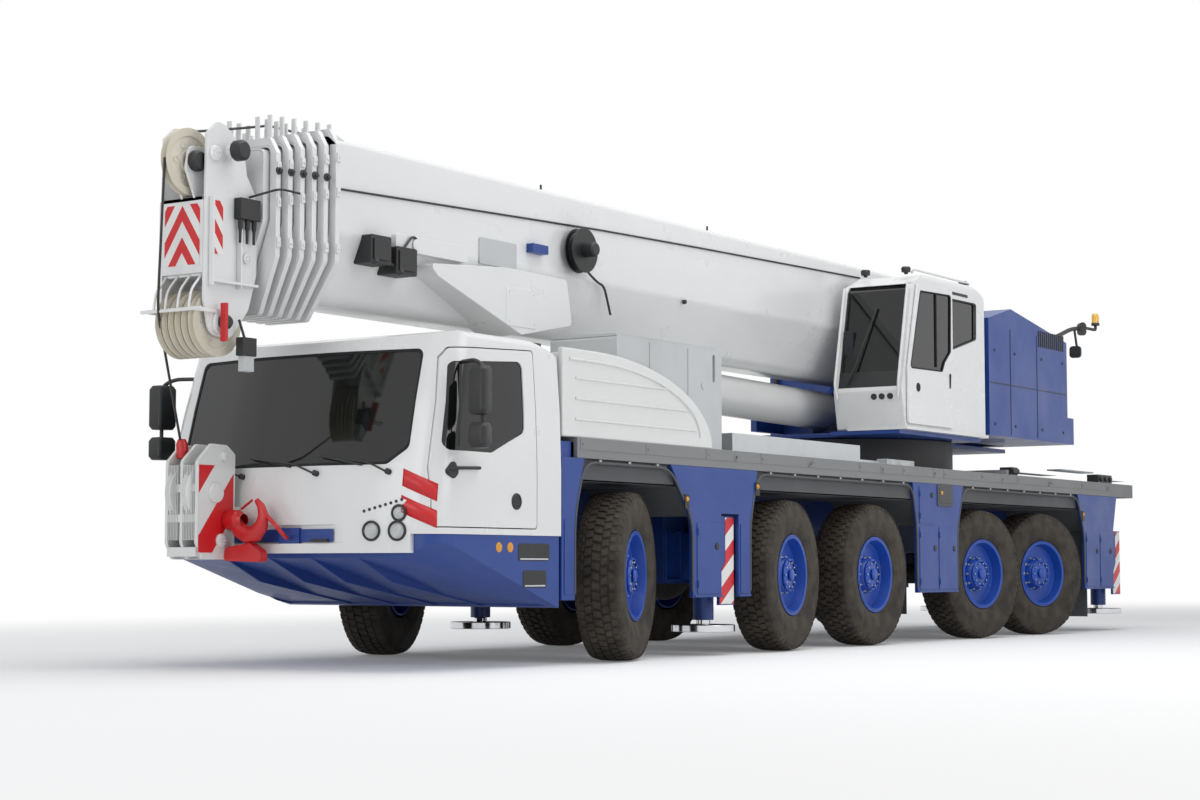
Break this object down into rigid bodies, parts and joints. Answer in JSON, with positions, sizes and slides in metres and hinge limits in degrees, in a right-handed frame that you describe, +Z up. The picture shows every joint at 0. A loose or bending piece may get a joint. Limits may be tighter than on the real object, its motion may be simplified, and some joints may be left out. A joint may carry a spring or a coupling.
{
  "type": "mobile crane",
  "caption": "All-terrain mobile crane with a telescopic boom, slewing superstructure, outriggers, all-wheel steering and opening cab doors.",
  "frame": {"origin": "on the road, under the middle of the crane as parked", "axes": "+X forward along the crane, +Y to the left, +Z up"},
  "size_m": [15.62, 3.4, 4.03],
  "materials": {
    "cast": "rough",
    "glass_dark": "polished",
    "paint_blue": "satin",
    "paint_dark": "satin",
    "paint_grey": "satin",
    "paint_white": "satin",
    "sheave_plastic": "satin",
    "steel": "ground",
    "tyre": "matte"
  },
  "bodies": {
    "carrier": {"chassis_frame": "paint_blue", "slewing_ring": "cast", "axle_beams": "cast", "carrier_deck": "paint_grey", "side_panels": "paint_blue", "mudguards": "paint_dark", "carrier_cab": "paint_white", "cab_glass": "glass_dark", "front_nose": "paint_blue", "engine_covers": "paint_white", "engine_block": "cast", "hook_block": "paint_white"},
    "door_left": {"carrier_door_left": "paint_white"},
    "door_right": {"carrier_door_right": "paint_white"},
    "wheel_1_left": {"wheel_1_left": "tyre"},
    "steer_1_left": {"knuckle_1_left": "cast"},
    "wheel_1_right": {"wheel_1_right": "tyre"},
    "steer_1_right": {"knuckle_1_right": "cast"},
    "wheel_2_left": {"wheel_2_left": "tyre"},
    "steer_2_left": {"knuckle_2_left": "cast"},
    "wheel_2_right": {"wheel_2_right": "tyre"},
    "steer_2_right": {"knuckle_2_right": "cast"},
    "wheel_3_left": {"wheel_3_left": "tyre"},
    "wheel_3_right": {"wheel_3_right": "tyre"},
    "wheel_4_left": {"wheel_4_left": "tyre"},
    "steer_4_left": {"knuckle_4_left": "cast"},
    "wheel_4_right": {"wheel_4_right": "tyre"},
    "steer_4_right": {"knuckle_4_right": "cast"},
    "wheel_5_left": {"wheel_5_left": "tyre"},
    "steer_5_left": {"knuckle_5_left": "cast"},
    "wheel_5_right": {"wheel_5_right": "tyre"},
    "steer_5_right": {"knuckle_5_right": "cast"},
    "superstructure": {"turntable": "paint_blue", "crane_cab": "paint_white", "crane_cab_glass": "glass_dark", "tail_housing": "paint_blue", "hoist_winch": "cast"},
    "crane_door": {"crane_cab_door": "paint_white"},
    "boom": {"boom_base": "paint_white"},
    "luff_barrel": {"luff_barrel": "paint_grey"},
    "luff_rod": {"luff_rod": "steel"},
    "boom_section_1": {"boom_section_1": "paint_white"},
    "boom_section_2": {"boom_section_2": "paint_white"},
    "boom_section_3": {"boom_section_3": "paint_white"},
    "boom_section_4": {"boom_section_4": "paint_white"},
    "boom_section_5": {"boom_section_5": "paint_white"},
    "boom_head": {"boom_head": "paint_white", "head_sheaves": "sheave_plastic"},
    "outrigger_front_left_beam": {"outrigger_front_left_beam": "paint_blue"},
    "outrigger_front_left_extension": {"outrigger_front_left_extension": "paint_blue"},
    "outrigger_front_left_foot": {"outrigger_front_left_foot": "steel"},
    "outrigger_front_right_beam": {"outrigger_front_right_beam": "paint_blue"},
    "outrigger_front_right_extension": {"outrigger_front_right_extension": "paint_blue"},
    "outrigger_front_right_foot": {"outrigger_front_right_foot": "steel"},
    "outrigger_rear_left_beam": {"outrigger_rear_left_beam": "paint_blue"},
    "outrigger_rear_left_extension": {"outrigger_rear_left_extension": "paint_blue"},
    "outrigger_rear_left_foot": {"outrigger_rear_left_foot": "steel"},
    "outrigger_rear_right_beam": {"outrigger_rear_right_beam": "paint_blue"},
    "outrigger_rear_right_extension": {"outrigger_rear_right_extension": "paint_blue"},
    "outrigger_rear_right_foot": {"outrigger_rear_right_foot": "steel"}
  },
  "joints": [
    {"name": "steering", "type": "hinge", "parent": "carrier", "child": "steer_1_left", "pos_m": [3.84, 1.03, 0.684], "axis": [0, 0, 1], "range_deg": [-57.3, 18.7]},
    {"name": "wheel_1_left_spin", "type": "hinge", "parent": "steer_1_left", "child": "wheel_1_left", "pos_m": [3.7896, 1.17393, 0.684], "axis": [-0.3305, 0.9438, 0], "continuous": true},
    {"name": "steering_1_right", "type": "hinge", "parent": "carrier", "child": "steer_1_right", "pos_m": [3.84, -1.03, 0.684], "axis": [0, 0, 1], "range_deg": [-57.3, 18.7]},
    {"name": "wheel_1_right_spin", "type": "hinge", "parent": "steer_1_right", "child": "wheel_1_right", "pos_m": [3.8904, -1.17393, 0.684], "axis": [-0.3305, 0.9438, 0], "continuous": true},
    {"name": "steering_2_left", "type": "hinge", "parent": "carrier", "child": "steer_2_left", "pos_m": [1.2, 1.03, 0.684], "axis": [0, 0, 1], "range_deg": [-24.12, 7.9]},
    {"name": "wheel_2_left_spin", "type": "hinge", "parent": "steer_2_left", "child": "wheel_2_left", "pos_m": [1.17878, 1.18102, 0.684], "axis": [-0.1392, 0.9903, 0], "continuous": true},
    {"name": "steering_2_right", "type": "hinge", "parent": "carrier", "child": "steer_2_right", "pos_m": [1.2, -1.03, 0.684], "axis": [0, 0, 1], "range_deg": [-24.12, 7.9]},
    {"name": "wheel_2_right_spin", "type": "hinge", "parent": "steer_2_right", "child": "wheel_2_right", "pos_m": [1.22122, -1.18102, 0.684], "axis": [-0.1392, 0.9903, 0], "continuous": true},
    {"name": "wheel_3_left_spin", "type": "hinge", "parent": "carrier", "child": "wheel_3_left", "pos_m": [-0.48, 1.1825, 0.684], "axis": [0, 1, 0], "continuous": true},
    {"name": "wheel_3_right_spin", "type": "hinge", "parent": "carrier", "child": "wheel_3_right", "pos_m": [-0.48, -1.1825, 0.684], "axis": [0, 1, 0], "continuous": true},
    {"name": "steering_4_left", "type": "hinge", "parent": "carrier", "child": "steer_4_left", "pos_m": [-3.065, 1.03, 0.684], "axis": [0, 0, 1], "range_deg": [-10.34, 31.57]},
    {"name": "wheel_4_left_spin", "type": "hinge", "parent": "steer_4_left", "child": "wheel_4_left", "pos_m": [-3.03721, 1.17995, 0.684], "axis": [0.1822, 0.9833, 0], "continuous": true},
    {"name": "steering_4_right", "type": "hinge", "parent": "carrier", "child": "steer_4_right", "pos_m": [-3.065, -1.03, 0.684], "axis": [0, 0, 1], "range_deg": [-10.34, 31.57]},
    {"name": "wheel_4_right_spin", "type": "hinge", "parent": "steer_4_right", "child": "wheel_4_right", "pos_m": [-3.09279, -1.17995, 0.684], "axis": [0.1822, 0.9833, 0], "continuous": true},
    {"name": "steering_5_left", "type": "hinge", "parent": "carrier", "child": "steer_5_left", "pos_m": [-4.74, 1.03, 0.684], "axis": [0, 0, 1], "range_deg": [-16.88, 51.62]},
    {"name": "wheel_5_left_spin", "type": "hinge", "parent": "steer_5_left", "child": "wheel_5_left", "pos_m": [-4.69491, 1.17568, 0.684], "axis": [0.2957, 0.9553, 0], "continuous": true},
    {"name": "steering_5_right", "type": "hinge", "parent": "carrier", "child": "steer_5_right", "pos_m": [-4.74, -1.03, 0.684], "axis": [0, 0, 1], "range_deg": [-16.88, 51.62]},
    {"name": "wheel_5_right_spin", "type": "hinge", "parent": "steer_5_right", "child": "wheel_5_right", "pos_m": [-4.7851, -1.17568, 0.684], "axis": [0.2957, 0.9553, 0], "continuous": true},
    {"name": "door_left_hinge", "type": "hinge", "parent": "carrier", "child": "door_left", "pos_m": [6.473, 1.377, 1.6], "axis": [0, 0, -1], "range_deg": [0, 70]},
    {"name": "door_right_hinge", "type": "hinge", "parent": "carrier", "child": "door_right", "pos_m": [6.473, -1.377, 1.6], "axis": [0, 0, 1], "range_deg": [0, 70]},
    {"name": "slew", "type": "hinge", "parent": "carrier", "child": "superstructure", "pos_m": [-2.56, 0, 2.08], "axis": [0, 0, 1], "continuous": true},
    {"name": "crane_door_slide", "type": "slide", "parent": "superstructure", "child": "crane_door", "axis": [-1, 0, 0], "range_m": [0, 0.62]},
    {"name": "luff", "type": "hinge", "parent": "superstructure", "child": "boom", "pos_m": [-4.51, 0, 3.25], "axis": [0, -1, 0], "range_deg": [0, 82]},
    {"name": "luff_barrel_tilt", "type": "hinge", "parent": "superstructure", "child": "luff_barrel", "pos_m": [-2.16, 0, 2.4], "axis": [0, -1, 0], "range_deg": [0, 94.57]},
    {"name": "luff_rod_slide", "type": "slide", "parent": "luff_barrel", "child": "luff_rod", "axis": [0.9999, 0, 0.0171], "range_m": [0, 3.0624]},
    {"name": "telescope", "type": "slide", "parent": "boom", "child": "boom_section_1", "axis": [1, 0, 0], "range_m": [0, 9.2]},
    {"name": "telescope_2", "type": "slide", "parent": "boom_section_1", "child": "boom_section_2", "axis": [1, 0, 0], "range_m": [0, 9.201]},
    {"name": "telescope_3", "type": "slide", "parent": "boom_section_2", "child": "boom_section_3", "axis": [1, 0, 0], "range_m": [0, 9.201]},
    {"name": "telescope_4", "type": "slide", "parent": "boom_section_3", "child": "boom_section_4", "axis": [1, 0, 0], "range_m": [0, 9.201]},
    {"name": "telescope_5", "type": "slide", "parent": "boom_section_4", "child": "boom_section_5", "axis": [1, 0, 0], "range_m": [0, 9.201]},
    {"name": "telescope_6", "type": "slide", "parent": "boom_section_5", "child": "boom_head", "axis": [1, 0, 0], "range_m": [0, 9.201]},
    {"name": "outrigger_front_left_slide", "type": "slide", "parent": "carrier", "child": "outrigger_front_left_beam", "axis": [0, 1, 0], "range_m": [0, 1.5]},
    {"name": "outrigger_front_left_slide_2", "type": "slide", "parent": "outrigger_front_left_beam", "child": "outrigger_front_left_extension", "axis": [0, 1, 0], "range_m": [0, 1.501]},
    {"name": "outrigger_front_left_jack", "type": "slide", "parent": "outrigger_front_left_extension", "child": "outrigger_front_left_foot", "axis": [0, 0, -1], "range_m": [0, 0.6]},
    {"name": "outrigger_front_right_slide", "type": "slide", "parent": "carrier", "child": "outrigger_front_right_beam", "axis": [0, -1, 0], "range_m": [0, 1.5]},
    {"name": "outrigger_front_right_slide_2", "type": "slide", "parent": "outrigger_front_right_beam", "child": "outrigger_front_right_extension", "axis": [0, -1, 0], "range_m": [0, 1.501]},
    {"name": "outrigger_front_right_jack", "type": "slide", "parent": "outrigger_front_right_extension", "child": "outrigger_front_right_foot", "axis": [0, 0, -1], "range_m": [0, 0.6]},
    {"name": "outrigger_rear_left_slide", "type": "slide", "parent": "carrier", "child": "outrigger_rear_left_beam", "axis": [0, 1, 0], "range_m": [0, 1.5]},
    {"name": "outrigger_rear_left_slide_2", "type": "slide", "parent": "outrigger_rear_left_beam", "child": "outrigger_rear_left_extension", "axis": [0, 1, 0], "range_m": [0, 1.501]},
    {"name": "outrigger_rear_left_jack", "type": "slide", "parent": "outrigger_rear_left_extension", "child": "outrigger_rear_left_foot", "axis": [0, 0, -1], "range_m": [0, 0.6]},
    {"name": "outrigger_rear_right_slide", "type": "slide", "parent": "carrier", "child": "outrigger_rear_right_beam", "axis": [0, -1, 0], "range_m": [0, 1.5]},
    {"name": "outrigger_rear_right_slide_2", "type": "slide", "parent": "outrigger_rear_right_beam", "child": "outrigger_rear_right_extension", "axis": [0, -1, 0], "range_m": [0, 1.501]},
    {"name": "outrigger_rear_right_jack", "type": "slide", "parent": "outrigger_rear_right_extension", "child": "outrigger_rear_right_foot", "axis": [0, 0, -1], "range_m": [0, 0.6]}
  ],
  "couplings": [
    {"joint": "steering_1_right", "follows": "steering", "ratio": 1},
    {"joint": "steering_2_left", "follows": "steering", "ratio": 0.42},
    {"joint": "steering_2_right", "follows": "steering", "ratio": 0.42},
    {"joint": "steering_4_left", "follows": "steering", "ratio": -0.55},
    {"joint": "steering_4_right", "follows": "steering", "ratio": -0.55},
    {"joint": "steering_5_left", "follows": "steering", "ratio": -0.9},
    {"joint": "steering_5_right", "follows": "steering", "ratio": -0.9},
    {"joint": "luff_barrel_tilt", "follows": "luff", "ratio": 1.1521},
    {"joint": "luff_rod_slide", "follows": "luff", "m_per_rad": 2.1384},
    {"joint": "telescope_2", "follows": "telescope", "ratio": 1},
    {"joint": "telescope_3", "follows": "telescope", "ratio": 1},
    {"joint": "telescope_4", "follows": "telescope", "ratio": 1},
    {"joint": "telescope_5", "follows": "telescope", "ratio": 1},
    {"joint": "telescope_6", "follows": "telescope", "ratio": 1},
    {"joint": "outrigger_front_left_slide_2", "follows": "outrigger_front_left_slide", "ratio": 1},
    {"joint": "outrigger_front_right_slide_2", "follows": "outrigger_front_right_slide", "ratio": 1},
    {"joint": "outrigger_rear_left_slide_2", "follows": "outrigger_rear_left_slide", "ratio": 1},
    {"joint": "outrigger_rear_right_slide_2", "follows": "outrigger_rear_right_slide", "ratio": 1}
  ]
}
